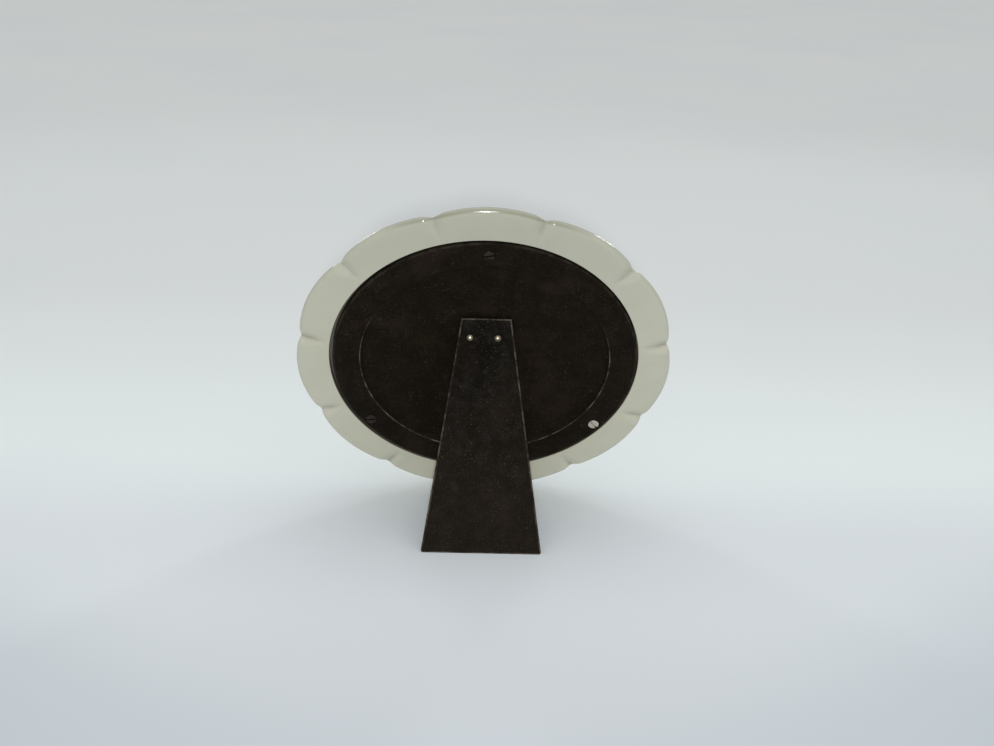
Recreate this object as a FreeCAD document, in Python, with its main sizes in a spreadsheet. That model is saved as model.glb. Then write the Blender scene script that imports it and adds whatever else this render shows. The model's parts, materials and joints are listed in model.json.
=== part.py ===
# Round table-top picture frame with eleven scallops, standing on a hinged easel strut.
#
# The frame is drawn upright about its own centre and then leaned back:
#   X across the frame, Y out of its back, Z up its face, and Y = 0 on the rim's back face.
# The strut is drawn about its hinge pin: X along the pin, Y out of the strut, Z up the strut.
# The part's own origin is on the table, in the middle of the object's footprint, +Z up.
import FreeCAD, Part
import Sketcher
import math
import os

Vec = FreeCAD.Vector
Turn = FreeCAD.Rotation
Place = FreeCAD.Placement

# Driving dimensions, in millimetres and degrees
sizes = {
    # scalloped rim, from its sight opening out: glass ledge, plate seat and back band
    "lobe_count": 11,
    "lobe_radius": 60.0,
    "sight_radius": 59.5,
    "glass_ledge_width": 3.9,
    "plate_seat_width": 10.3,
    "back_band_width": 16.3,
    "rim_depth": 13.5,
    "edge_round": 2.4,
    "crown_inset": 24.0,
    "glass_ledge_depth": 8.0,
    "sight_lip_depth": 2.0,
    "plate_seat_depth": 3.0,
    # creases between the lobes
    "rear_crease_inset": 2.8,
    "rear_crease_run": 15.0,
    "rear_crease_radius": 3.2,
    "rear_crease_rise": 1.7,
    "front_crease_inset": 5.0,
    "front_crease_run": 25.0,
    "front_crease_radius": 5.0,
    "front_crease_lead": 0.7,
    "front_crease_fall": 8.5,
    # what lies between the front ledge and the back plate
    "glass_thickness": 2.0,
    "glass_side_gap": 0.3,
    "glass_edge_bevel": 0.3,
    "picture_thickness": 0.4,
    "card_side_gap": 0.5,
    # back plate
    "plate_side_gap": 0.8,
    "plate_shift": 0.5,
    "plate_drop": 0.5,
    "plate_edge_bevel": 0.5,
    "recess_inset": 3.6,
    "recess_depth": 1.4,
    # plate screws
    "screw_head_radius": 2.65,
    "screw_head_depth": 1.3,
    "screw_land": 0.15,
    "screw_shank_radius": 1.4,
    "screw_length": 10.0,
    "screw_tip_length": 1.6,
    "screw_slot_width": 0.8,
    "screw_slot_depth": 0.7,
    "screw_sink_gap": 0.3,
    "screw_hole_gap": 0.1,
    "top_slot_turn": 12.0,
    "low_slot_turn": 8.0,
    "replacement_slot_turn": -52.0,
    "top_screw_inset": 2.1,
    "low_screw_inset": 5.4,
    "low_screw_angle": 126.2,
    # strut hinge
    "pin_radius": 0.65,
    "pin_overhang": 0.25,
    "pin_end_bevel": 0.2,
    "pin_running_gap": 0.05,
    "knuckle_wall": 0.6,
    "knuckle_gap": 0.2,
    "middle_knuckle_width": 6.0,
    "leaf_width": 18.0,
    "leaf_drop": 12.0,
    "leaf_thickness": 0.6,
    "leaf_notch_gap": 0.2,
    "barrel_gap": 0.15,
    "hinge_height": 24.9,
    "hinge_shift": 1.0,
    # rivets
    "rivet_shank_radius": 0.8,
    "rivet_hole_gap": 0.05,
    "strut_rivet_head_radius": 1.65,
    "strut_rivet_head_height": 0.9,
    "strut_rivet_tail_radius": 1.3,
    "strut_rivet_tail_height": 0.35,
    "strut_rivet_half_spacing": 6.5,
    "strut_rivet_drop": 6.7,
    "leaf_rivet_head_radius": 1.5,
    "leaf_rivet_head_height": 0.4,
    "leaf_rivet_sink_depth": 0.6,
    "leaf_rivet_half_spacing": 4.8,
    "leaf_rivet_drop": 8.2,
    # strut
    "strut_thickness": 2.4,
    "strut_top_width": 23.3,
    "strut_foot_width": 56.8,
    "strut_fold_gap": 0.2,
    "strut_edge_bevel": 0.6,
    "strut_foot_round": 1.6,
    "leaf_pocket_gap": 0.3,
    "heel_gap": 0.05,
    # stance
    "lean_angle": 24.1,
    "strut_angle": 16.3,
    # how far a cutting shape runs past the face that it cuts
    "overrun": 1.0,
}


def ring_sizes(given):
    """Radii that follow from the sight opening outwards, and what is placed on them."""
    out = {}
    # the front face is one arc from the crown out to the rounded edge, which it meets smoothly
    edge = given["edge_round"]
    run = given["crown_inset"] - edge
    rise = given["rim_depth"] - 2 * edge
    span = (run ** 2 + rise ** 2) / (2 * rise)
    out["front_face_round"] = span + edge
    out["edge_end_inset"] = edge * (1 - run / span)
    out["edge_end_depth"] = edge * (2 - rise / span)
    out["well_round"] = given["rim_depth"] - given["glass_ledge_depth"] - given["sight_lip_depth"]
    out["glass_bay_radius"] = given["sight_radius"] + given["glass_ledge_width"]
    out["plate_bay_radius"] = out["glass_bay_radius"] + given["plate_seat_width"]
    out["lobe_tip_radius"] = out["plate_bay_radius"] + given["back_band_width"]
    out["lobe_centre_radius"] = out["lobe_tip_radius"] - given["lobe_radius"]
    out["rear_crease_start"] = out["plate_bay_radius"] + given["rear_crease_inset"]
    out["front_crease_start"] = given["sight_radius"] + out["well_round"] + given["front_crease_inset"]
    out["recess_radius"] = out["glass_bay_radius"] - given["recess_inset"]
    out["top_screw_radius"] = out["glass_bay_radius"] + given["top_screw_inset"]
    around = math.radians(given["low_screw_angle"])
    low_screw_radius = out["glass_bay_radius"] + given["low_screw_inset"]
    out["low_screw_across"] = low_screw_radius * math.sin(around)
    out["low_screw_up"] = low_screw_radius * math.cos(around)
    return out


def stance_sizes(given):
    """Sizes that follow from how the frame leans on its strut, because pieces meet there."""
    lean = math.radians(given["lean_angle"])
    strut_lean = math.radians(given["strut_angle"])
    opening = lean + strut_lean
    out = {}
    out["fold_angle"] = given["lean_angle"] + given["strut_angle"]
    out["crease_angle"] = 180.0 / given["lobe_count"]
    # the hinge pin above the recess floor, and the faces of the strut about the pin
    out["knuckle_radius"] = given["pin_radius"] + given["pin_running_gap"] + given["knuckle_wall"]
    out["pin_height"] = out["knuckle_radius"] + given["barrel_gap"]
    out["strut_inner"] = given["recess_depth"] + given["strut_fold_gap"] - out["pin_height"]
    out["strut_outer"] = out["strut_inner"] + given["strut_thickness"]
    reach = out["pin_height"] - given["heel_gap"] + out["strut_inner"] * math.cos(opening)
    out["heel_length"] = reach / math.sin(opening)
    # the rim's lowest point touches the table, on the two lobes beside the lowest crease
    lobe_drop = given["lobe_centre_radius"] * math.cos(math.radians(out["crease_angle"]))
    edge = given["edge_round"]
    low = lobe_drop + given["lobe_radius"] - edge
    out["centre_height"] = low * math.cos(lean) - edge * math.sin(lean) + edge
    # the pin over the table, and the strut's length down to the table
    pin_back = out["pin_height"] - given["recess_depth"]
    pin_up = given["hinge_height"]
    pin_z = out["centre_height"] + pin_up * math.cos(lean) - pin_back * math.sin(lean)
    pin_y = pin_back * math.cos(lean) + pin_up * math.sin(lean)
    out["foot_outer"] = (pin_z + out["strut_outer"] * math.sin(strut_lean)) / math.cos(strut_lean)
    past = out["strut_inner"] - given["overrun"]
    out["foot_past_inner"] = (pin_z + past * math.sin(strut_lean)) / math.cos(strut_lean)
    # the footprint, from the front of the lowest lobes to the strut's foot
    face = given["front_face_round"]
    front = (face - given["rim_depth"]) * math.cos(lean)
    front -= (lobe_drop + given["lobe_radius"] - given["crown_inset"]) * math.sin(lean) + face
    foot = pin_y + out["foot_outer"] * math.sin(strut_lean) + out["strut_outer"] * math.cos(strut_lean)
    out["centre_back"] = -(front + foot) / 2
    out["pin_y"] = pin_y + out["centre_back"]
    out["pin_z"] = pin_z
    return out


doc = FreeCAD.newDocument("picture_frame")
sheet = doc.addObject("Spreadsheet::Sheet", "dims")
dims = {**sizes, **ring_sizes(sizes)}
dims.update(stance_sizes(dims))
for row, (name, value) in enumerate(dims.items(), 1):
    sheet.set(f"A{row}", name)
    sheet.set(f"B{row}", str(value))
    sheet.setAlias(f"B{row}", name)
doc.recompute()


def bound(text):
    """An expression in the sheet's names: 'rim_depth - overrun' reads the cells."""
    words = text.replace("(", " ( ").replace(")", " ) ").split()
    return " ".join(f"dims.{word}" if word in dims else word for word in words)


def worth(text):
    """The number that such an expression stands for now."""
    return float(sheet.evalExpression(bound(text)))


def follow(thing, prop, text):
    """Bind one property of a feature to the sheet."""
    thing.setExpression(prop, bound(text))


# Helpers for bodies, sketches and features
def new_body(name):
    body = doc.addObject("PartDesign::Body", name)
    body.Label = name
    return body


def origin_part(body, role):
    return next(item for item in body.Origin.OriginFeatures if item.Role == role)


def sketch_on(body, role, name, across="0", up="0", out="0"):
    """A sketch on one of the body's own planes, shifted across, up and out of it."""
    sketch = body.newObject("Sketcher::SketchObject", name)
    sketch.AttachmentSupport = [(origin_part(body, role), "")]
    sketch.MapMode = "FlatFace"
    for axis, text in (("x", across), ("y", up), ("z", out)):
        if text != "0":
            follow(sketch, f"AttachmentOffset.Base.{axis}", text)
    return sketch


def hold(sketch, kind, geometry, end, text):
    """Hold one end of a line or arc at a distance from the sketch's origin."""
    index = sketch.addConstraint(Sketcher.Constraint(kind, -1, 1, geometry, end, worth(text)))
    if text != "0":
        follow(sketch, f"Constraints[{index}]", text)


def outline(sketch, corners):
    """A closed outline. A corner (x, y) starts a straight edge, and (x, y, radius, side)
    starts an arc that bulges to the left (1) or right (-1) of its chord."""
    first = sketch.GeometryCount
    spots = [Vec(worth(corner[0]), worth(corner[1]), 0) for corner in corners]
    total = len(corners)
    starts = []
    for index, corner in enumerate(corners):
        start = spots[index]
        end = spots[(index + 1) % total]
        if len(corner) == 2:
            sketch.addGeometry(Part.LineSegment(start, end), False)
        else:
            radius = worth(corner[2])
            half = (end - start).Length / 2
            rise = radius - math.sqrt(max(radius * radius - half * half, 0))
            left = Vec(start.y - end.y, end.x - start.x, 0).normalize()
            middle = (start + end) / 2 + left * rise * corner[3]
            sketch.addGeometry(Part.Arc(start, middle, end), False)
        near = (sketch.getPoint(first + index, 1) - start).Length
        far = (sketch.getPoint(first + index, 2) - start).Length
        starts.append(1 if near <= far else 2)
    for index, corner in enumerate(corners):
        before = (index - 1) % total
        ends = (first + before, 3 - starts[before], first + index, starts[index])
        sketch.addConstraint(Sketcher.Constraint("Coincident", *ends))
        hold(sketch, "DistanceX", first + index, starts[index], corner[0])
        hold(sketch, "DistanceY", first + index, starts[index], corner[1])
        if len(corner) == 4:
            radius = Sketcher.Constraint("Radius", first + index, worth(corner[2]))
            follow(sketch, f"Constraints[{sketch.addConstraint(radius)}]", corner[2])


def circle(sketch, x, y, radius):
    number = sketch.addGeometry(Part.Circle(Vec(worth(x), worth(y), 0), Vec(0, 0, 1), worth(radius)), False)
    hold(sketch, "DistanceX", number, 3, x)
    hold(sketch, "DistanceY", number, 3, y)
    size = Sketcher.Constraint("Radius", number, worth(radius))
    follow(sketch, f"Constraints[{sketch.addConstraint(size)}]", radius)


def block(sketch, left, low, right, high):
    outline(sketch, [(left, low), (right, low), (right, high), (left, high)])


def extrude(body, kind, sketch, length, reverse=False, both_ways=False):
    """A Pad or Pocket of a sketch."""
    feature = body.newObject(f"PartDesign::{kind}", f"{sketch.Name}_{kind}")
    feature.Profile = sketch
    follow(feature, "Length", length)
    feature.Reversed = reverse
    if both_ways:
        feature.SideType = "Symmetric"
    return feature


def spin(body, kind, sketch, angle="360", both_ways=False):
    """A Revolution or Groove of a sketch about its own horizontal axis."""
    feature = body.newObject(f"PartDesign::{kind}", f"{sketch.Name}_{kind}")
    feature.Profile = sketch
    feature.ReferenceAxis = (sketch, ["H_Axis"])
    follow(feature, "Angle", angle)
    feature.Midplane = both_ways
    return feature


def round_the_frame(body, feature):
    """Repeat one feature once for every lobe, about the frame's axis."""
    pattern = body.newObject("PartDesign::PolarPattern", f"{feature.Name}_pattern")
    pattern.Originals = [feature]
    pattern.Axis = (origin_part(body, "Y_Axis"), [""])
    pattern.Angle = 360
    follow(pattern, "Occurrences", "lobe_count")
    body.Tip = pattern
    return pattern


def edges_where(feature, test):
    """Names of the feature's edges whose two ends pass a test."""
    found = []
    for number, edge in enumerate(feature.Shape.Edges, 1):
        ends = [vertex.Point for vertex in edge.Vertexes]
        if len(ends) == 2 and test(ends[0], ends[1]):
            found.append(f"Edge{number}")
    return found


def ease(body, kind, feature, names, text):
    """A Fillet or Chamfer on named edges."""
    eased = body.newObject(f"PartDesign::{kind}", f"{body.Name}_{kind}")
    eased.Base = (feature, names)
    follow(eased, "Radius" if kind == "Fillet" else "Size", text)
    return eased


def same(first, second):
    return math.isclose(first, second, abs_tol=1e-6)


# Where each group of pieces stands
leaned = Place(Vec(0, dims["centre_back"], dims["centre_height"]), Turn(Vec(1, 0, 0), -dims["lean_angle"]))
plate_spot = Place(Vec(-dims["plate_shift"], 0, -dims["plate_drop"]), Turn())
hinge_x = dims["hinge_shift"] - dims["plate_shift"]
leaf_spot = Place(Vec(hinge_x, dims["pin_height"] - dims["recess_depth"], dims["hinge_height"]), Turn())
open_spot = Place(Vec(-dims["hinge_shift"], 0, 0), Turn())
opened = Place(Vec(0, 0, 0), Turn(Vec(1, 0, 0), dims["fold_angle"]))
at_rim = leaned
at_plate = leaned * plate_spot
at_fixed_leaf = leaned * leaf_spot
at_moving_leaf = at_fixed_leaf * opened
at_strut = at_moving_leaf * open_spot


def crease_cone(body, name, start, start_depth, run, fall, radius):
    """A cone laid along one crease, its point inwards, that scoops the valley between two lobes."""
    cone = body.newObject("PartDesign::SubtractiveCone", name)
    cone.Radius1 = 0
    follow(cone, "Radius2", radius)
    length = math.hypot(worth(run), worth(fall))
    cone.Height = length
    crease = math.radians(dims["crease_angle"])
    outward = Vec(math.sin(crease), 0, math.cos(crease))
    point = outward * worth(start) + Vec(0, worth(start_depth), 0)
    way = outward * worth(run) + Vec(0, worth(fall), 0)
    cone.Placement = Place(point, Turn(Vec(0, 0, 1), way))
    doc.recompute()
    return round_the_frame(body, cone)


def make_rim():
    """Each lobe is turned about its own centre, repeated round the frame, then bored out."""
    body = new_body("frame_rim")
    lobe = sketch_on(body, "YZ_Plane", "lobe", up="lobe_centre_radius")
    outline(lobe, [
        ("0", "sight_radius - lobe_centre_radius - overrun"),
        ("0", "lobe_radius - edge_round", "edge_round", -1),
        ("0 - edge_round", "lobe_radius", "edge_round", -1),
        ("0 - edge_end_depth", "lobe_radius - edge_end_inset", "front_face_round", -1),
        ("0 - rim_depth", "lobe_radius - crown_inset"),
        ("0 - rim_depth", "sight_radius - lobe_centre_radius - overrun"),
    ])
    turned = spin(body, "Revolution", lobe, "crease_angle * 4", both_ways=True)
    doc.recompute()
    ring = round_the_frame(body, turned)
    doc.recompute()
    bore = sketch_on(body, "YZ_Plane", "bore")
    outline(bore, [
        ("overrun", "0"),
        ("overrun", "plate_bay_radius"),
        ("0 - plate_seat_depth", "plate_bay_radius"),
        ("0 - plate_seat_depth", "glass_bay_radius"),
        ("0 - glass_ledge_depth", "glass_bay_radius"),
        ("0 - glass_ledge_depth", "sight_radius"),
        ("well_round - rim_depth", "sight_radius", "well_round", 1),
        ("0 - rim_depth", "sight_radius + well_round"),
        ("0 - rim_depth - overrun", "sight_radius + well_round"),
        ("0 - rim_depth - overrun", "0"),
    ])
    spin(body, "Groove", bore)
    doc.recompute()
    crease_cone(body, "rear_crease", "rear_crease_start", "0", "rear_crease_run",
                "rear_crease_rise", "rear_crease_radius")
    crease_cone(body, "front_crease", "front_crease_start", "0 - rim_depth - front_crease_lead",
                "front_crease_run", "front_crease_fall", "front_crease_radius")
    pilots = sketch_on(body, "XZ_Plane", "pilot_holes", out="plate_seat_depth")
    for x, z in screw_places(in_rim=True):
        circle(pilots, x, z, "screw_shank_radius + screw_hole_gap")
    extrude(body, "Pocket", pilots, "screw_length - plate_seat_depth + screw_hole_gap", reverse=True)
    body.Placement = at_rim
    return body


def screw_places(in_rim=False):
    """The three plate screws, from the plate's centre or from the rim's."""
    shift = " - plate_shift" if in_rim else ""
    drop = " - plate_drop" if in_rim else ""
    return [
        ("0" + shift, "top_screw_radius" + drop),
        ("low_screw_across" + shift, "low_screw_up" + drop),
        ("0 - low_screw_across" + shift, "low_screw_up" + drop),
    ]


def make_disc(name, radius, thickness, back, bevel=None):
    """A plain round sheet whose rear face lies at a depth under the rim's back face."""
    body = new_body(name)
    round_sketch = sketch_on(body, "XZ_Plane", f"{name}_outline", out=back)
    circle(round_sketch, "0", "0", radius)
    sheet_body = extrude(body, "Pad", round_sketch, thickness)
    doc.recompute()
    if bevel:
        every = [f"Edge{number}" for number, edge in enumerate(sheet_body.Shape.Edges, 1)
                 if edge.Closed and len(edge.Vertexes) == 1]
        ease(body, "Chamfer", sheet_body, every, bevel)
    body.Placement = at_rim
    return body


def make_plate():
    """The moulded back plate: a raised border round a shallow recess with a sloping wall."""
    body = new_body("back_plate")
    section = sketch_on(body, "YZ_Plane", "plate_section")
    outline(section, [
        ("0 - plate_seat_depth", "0"),
        ("0 - plate_seat_depth", "plate_bay_radius - plate_side_gap"),
        ("0 - plate_edge_bevel", "plate_bay_radius - plate_side_gap"),
        ("0", "plate_bay_radius - plate_side_gap - plate_edge_bevel"),
        ("0", "recess_radius"),
        ("0 - recess_depth", "recess_radius - recess_depth"),
        ("0 - recess_depth", "0"),
    ])
    spin(body, "Revolution", section)
    doc.recompute()
    holes = sketch_on(body, "XZ_Plane", "screw_holes", out="0 - overrun")
    for x, z in screw_places():
        circle(holes, x, z, "screw_shank_radius + screw_hole_gap")
    extrude(body, "Pocket", holes, "plate_seat_depth + overrun * 2", reverse=True)
    for number, (x, z) in enumerate(screw_places(), 1):
        countersink(body, f"screw_sink_{number}", x, "0", z, "screw_head_radius + screw_sink_gap",
                    "screw_shank_radius + screw_sink_gap", "screw_head_depth + screw_land", -1)
    rivets = sketch_on(body, "XZ_Plane", "leaf_rivet_holes", out="0 - overrun")
    for side in ("+", "-"):
        circle(rivets, f"hinge_shift {side} leaf_rivet_half_spacing",
               "hinge_height + plate_drop - leaf_rivet_drop", "rivet_shank_radius + rivet_hole_gap")
    extrude(body, "Pocket", rivets, "plate_seat_depth + overrun * 2", reverse=True)
    for number, side in enumerate(("+", "-"), 1):
        countersink(body, f"rivet_sink_{number}", f"hinge_shift {side} leaf_rivet_half_spacing",
                    "0 - plate_seat_depth", "hinge_height + plate_drop - leaf_rivet_drop",
                    "leaf_rivet_head_radius + rivet_hole_gap", "rivet_shank_radius + rivet_hole_gap",
                    "leaf_rivet_sink_depth", 1)
    body.Placement = at_plate
    return body


def countersink(body, name, x, y, z, mouth, throat, depth, way):
    """A conical sink whose mouth lies at y and which narrows towards +Y (1) or -Y (-1)."""
    cone = body.newObject("PartDesign::SubtractiveCone", name)
    follow(cone, "Radius1", mouth)
    follow(cone, "Radius2", throat)
    follow(cone, "Height", depth)
    cone.Placement = Place(Vec(0, 0, 0), Turn(Vec(1, 0, 0), -90 * way))
    follow(cone, "Placement.Base.x", x)
    follow(cone, "Placement.Base.y", y)
    follow(cone, "Placement.Base.z", z)
    doc.recompute()
    body.Tip = cone
    return cone


def make_screw(name, x, z, slot_turn):
    """A slotted countersunk screw, drawn about its own axis with its head's face at Y = 0."""
    body = new_body(name)
    section = sketch_on(body, "YZ_Plane", f"{name}_section")
    outline(section, [
        ("0", "0"),
        ("0", "screw_head_radius"),
        ("0 - screw_land", "screw_head_radius"),
        ("0 - screw_land - screw_head_depth", "screw_shank_radius"),
        ("screw_tip_length - screw_length", "screw_shank_radius"),
        ("0 - screw_length", "0"),
    ])
    spin(body, "Revolution", section)
    doc.recompute()
    slot = sketch_on(body, "XZ_Plane", f"{name}_slot", out="0 - overrun")
    block(slot, "0 - screw_head_radius - overrun", "0 - screw_slot_width / 2",
          "screw_head_radius + overrun", "screw_slot_width / 2")
    extrude(body, "Pocket", slot, "screw_slot_depth + overrun", reverse=True)
    doc.recompute()
    body.Placement = at_plate * Place(Vec(x, 0, z), Turn(Vec(0, 1, 0), slot_turn))
    return body


def leaf_outline(sketch, lug, gap, tongue_inside):
    """One hinge leaf: a rectangle below the pin, notched where the other leaf's knuckles turn."""
    low = "0 - leaf_drop"
    notch = "0 - knuckle_radius - leaf_notch_gap"
    edge = "leaf_width / 2"
    step = f"{lug} / 2{gap}"
    sides = ("0", notch) if tongue_inside else (notch, "0")
    inner, outer = sides
    outline(sketch, [
        (f"0 - {edge}", low),
        (edge, low),
        (edge, outer),
        (step, outer),
        (step, inner),
        (f"0 - ( {step} )", inner),
        (f"0 - ( {step} )", outer),
        (f"0 - {edge}", outer),
    ])


def knuckle(body, name, left, width):
    """A barrel of the hinge, round the pin's axis."""
    barrel = sketch_on(body, "YZ_Plane", name, out=left)
    circle(barrel, "0", "0", "knuckle_radius")
    extrude(body, "Pad", barrel, width)
    doc.recompute()


def pin_bore(body):
    """The hole for the pin, through every knuckle of one leaf."""
    hole = sketch_on(body, "YZ_Plane", f"{body.Name}_bore")
    circle(hole, "0", "0", "pin_radius + pin_running_gap")
    extrude(body, "Pocket", hole, "leaf_width + overrun * 2", both_ways=True)
    doc.recompute()


def rivet_holes(body, half_spacing, drop, depth, start):
    holes = sketch_on(body, "XZ_Plane", f"{body.Name}_rivet_holes", out=start)
    for side in ("0 - ", ""):
        circle(holes, side + half_spacing, f"0 - {drop}", "rivet_shank_radius + rivet_hole_gap")
    extrude(body, "Pocket", holes, depth, reverse=True)
    doc.recompute()


def make_fixed_leaf():
    """The leaf that is riveted to the floor of the plate's recess, with two knuckles."""
    body = new_body("hinge_fixed_leaf")
    flat = sketch_on(body, "XZ_Plane", "fixed_leaf", out="pin_height - leaf_thickness")
    leaf_outline(flat, "middle_knuckle_width", " + knuckle_gap", tongue_inside=False)
    extrude(body, "Pad", flat, "leaf_thickness")
    doc.recompute()
    width = "leaf_width / 2 - middle_knuckle_width / 2 - knuckle_gap"
    knuckle(body, "left_knuckle", "0 - leaf_width / 2", width)
    knuckle(body, "right_knuckle", "middle_knuckle_width / 2 + knuckle_gap", width)
    pin_bore(body)
    rivet_holes(body, "leaf_rivet_half_spacing", "leaf_rivet_drop", "leaf_thickness + overrun * 2",
                "pin_height - leaf_thickness - overrun")
    body.Placement = at_fixed_leaf
    return body


def make_moving_leaf():
    """The leaf that lies in the strut's pocket, with the middle knuckle."""
    body = new_body("hinge_moving_leaf")
    flat = sketch_on(body, "XZ_Plane", "moving_leaf", out="0 - pin_height")
    leaf_outline(flat, "middle_knuckle_width", "", tongue_inside=True)
    extrude(body, "Pad", flat, "leaf_thickness")
    doc.recompute()
    knuckle(body, "middle_knuckle", "0 - middle_knuckle_width / 2", "middle_knuckle_width")
    pin_bore(body)
    rivet_holes(body, "strut_rivet_half_spacing", "strut_rivet_drop", "leaf_thickness + overrun * 2",
                "0 - pin_height - overrun")
    body.Placement = at_moving_leaf
    return body


def make_pin():
    body = new_body("hinge_pin")
    end = sketch_on(body, "YZ_Plane", "pin_circle")
    circle(end, "0", "0", "pin_radius")
    rod = extrude(body, "Pad", end, "leaf_width + pin_overhang * 2", both_ways=True)
    doc.recompute()
    rims = [f"Edge{number}" for number, edge in enumerate(rod.Shape.Edges, 1) if len(edge.Vertexes) == 1]
    ease(body, "Chamfer", rod, rims, "pin_end_bevel")
    body.Placement = at_fixed_leaf
    return body


def make_strut_rivet(name, x):
    """A dome-headed rivet through the strut and the moving leaf."""
    body = new_body(name)
    section = sketch_on(body, "YZ_Plane", f"{name}_section")
    leaf_face = "pin_height - leaf_thickness"
    head = "strut_rivet_head_radius"
    dome = f"{head} * {head} / strut_rivet_head_height / 2 + strut_rivet_head_height / 2"
    outline(section, [
        (f"{leaf_face} - strut_rivet_tail_height", "0"),
        (f"{leaf_face} - strut_rivet_tail_height", "strut_rivet_tail_radius"),
        (leaf_face, "strut_rivet_tail_radius"),
        (leaf_face, "rivet_shank_radius"),
        ("strut_outer", "rivet_shank_radius"),
        ("strut_outer", head, dome, 1),
        ("strut_outer + strut_rivet_head_height", "0"),
    ])
    spin(body, "Revolution", section)
    doc.recompute()
    body.Placement = at_moving_leaf * Place(Vec(x, 0, -dims["strut_rivet_drop"]), Turn())
    return body


def make_leaf_rivet(name, x):
    """A flat-headed rivet through the fixed leaf and the plate, its tail flush under the plate."""
    body = new_body(name)
    section = sketch_on(body, "YZ_Plane", f"{name}_section")
    leaf_face = "leaf_thickness - pin_height"
    under = "recess_depth - plate_seat_depth - pin_height"
    outline(section, [
        (f"{leaf_face} + leaf_rivet_head_height", "0"),
        (f"{leaf_face} + leaf_rivet_head_height", "leaf_rivet_head_radius"),
        (leaf_face, "leaf_rivet_head_radius"),
        (leaf_face, "rivet_shank_radius"),
        (f"{under} + leaf_rivet_sink_depth", "rivet_shank_radius"),
        (under, "leaf_rivet_head_radius"),
        (under, "0"),
    ])
    spin(body, "Revolution", section)
    doc.recompute()
    body.Placement = at_fixed_leaf * Place(Vec(x, 0, -dims["leaf_rivet_drop"]), Turn())
    return body


def make_strut():
    """The tapered easel leg: wide and flat at its foot, pocketed behind its top for the hinge."""
    body = new_body("strut")
    face = sketch_on(body, "XZ_Plane", "strut_face", out="0 - strut_inner")
    outline(face, [
        ("0 - strut_foot_width / 2", "0 - foot_outer"),
        ("strut_foot_width / 2", "0 - foot_outer"),
        ("strut_top_width / 2", "heel_length"),
        ("0 - strut_top_width / 2", "heel_length"),
    ])
    board = extrude(body, "Pad", face, "strut_thickness", reverse=True)
    doc.recompute()
    foot = -dims["foot_outer"]
    corners = edges_where(board, lambda a, b: same(a.x, b.x) and same(a.z, foot) and same(b.z, foot))
    rounded = ease(body, "Fillet", board, corners, "strut_foot_round")
    doc.recompute()
    outer = dims["strut_outer"]
    brim = edges_where(rounded, lambda a, b: same(a.y, outer) and same(b.y, outer))
    ease(body, "Chamfer", rounded, brim, "strut_edge_bevel")
    doc.recompute()
    sole = sketch_on(body, "YZ_Plane", "strut_sole")
    outline(sole, [
        ("strut_inner - overrun", "0 - foot_outer - overrun"),
        ("strut_outer", "0 - foot_outer - overrun"),
        ("strut_outer", "0 - foot_outer"),
        ("strut_inner - overrun", "0 - foot_past_inner"),
    ])
    extrude(body, "Pocket", sole, "strut_foot_width + overrun * 2", both_ways=True)
    doc.recompute()
    pocket = sketch_on(body, "XZ_Plane", "leaf_pocket", out="0 - pin_height")
    block(pocket, "hinge_shift - leaf_width / 2 - leaf_pocket_gap", "0 - leaf_drop - leaf_pocket_gap",
          "hinge_shift + leaf_width / 2 + leaf_pocket_gap", "heel_length + overrun")
    extrude(body, "Pocket", pocket, "pin_height - strut_inner + overrun", reverse=True)
    doc.recompute()
    holes = sketch_on(body, "XZ_Plane", "strut_rivet_holes", out="0 - strut_inner + overrun")
    for side in ("-", "+"):
        circle(holes, f"hinge_shift {side} strut_rivet_half_spacing", "0 - strut_rivet_drop",
               "rivet_shank_radius + rivet_hole_gap")
    extrude(body, "Pocket", holes, "strut_thickness + overrun * 2")
    doc.recompute()
    body.Placement = at_strut
    return body


def group(name, bodies):
    """Identical fasteners kept together as separate solids."""
    compound = doc.addObject("Part::Compound", name)
    compound.Links = bodies
    compound.Label = name
    return compound


# The pieces
low_x = dims["low_screw_across"]
low_z = dims["low_screw_up"]
card_back = "plate_seat_depth"
glass_back = "glass_ledge_depth - glass_thickness"
picture_back = f"{glass_back} - picture_thickness"
nodes = [
    make_rim(),
    make_disc("glass_pane", "glass_bay_radius - glass_side_gap", "glass_thickness", glass_back,
              bevel="glass_edge_bevel"),
    make_disc("picture_card", "glass_bay_radius - card_side_gap", "picture_thickness", picture_back),
    make_disc("backing_card", "glass_bay_radius - card_side_gap",
              f"{picture_back} - plate_seat_depth", card_back),
    make_plate(),
    group("plate_screws", [make_screw("screw_top", 0, dims["top_screw_radius"], dims["top_slot_turn"]),
                           make_screw("screw_low", low_x, low_z, dims["low_slot_turn"])]),
    make_screw("replacement_screw", -low_x, low_z, dims["replacement_slot_turn"]),
    make_fixed_leaf(),
    make_moving_leaf(),
    make_pin(),
    group("leaf_rivets", [make_leaf_rivet("leaf_rivet_left", dims["leaf_rivet_half_spacing"]),
                          make_leaf_rivet("leaf_rivet_right", -dims["leaf_rivet_half_spacing"])]),
    group("strut_rivets", [make_strut_rivet("strut_rivet_left", dims["strut_rivet_half_spacing"]),
                           make_strut_rivet("strut_rivet_right", -dims["strut_rivet_half_spacing"])]),
    make_strut(),
]
doc.recompute()

# Nothing is written unless every feature and every piece is sound
for item in doc.Objects:
    if "Invalid" in item.State or "Error" in item.State:
        raise RuntimeError(f"{item.Name} failed: {item.State}")
for node in nodes:
    if node.Shape.isNull() or not node.Shape.isValid():
        raise RuntimeError(f"{node.Label} has no sound shape")

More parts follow.
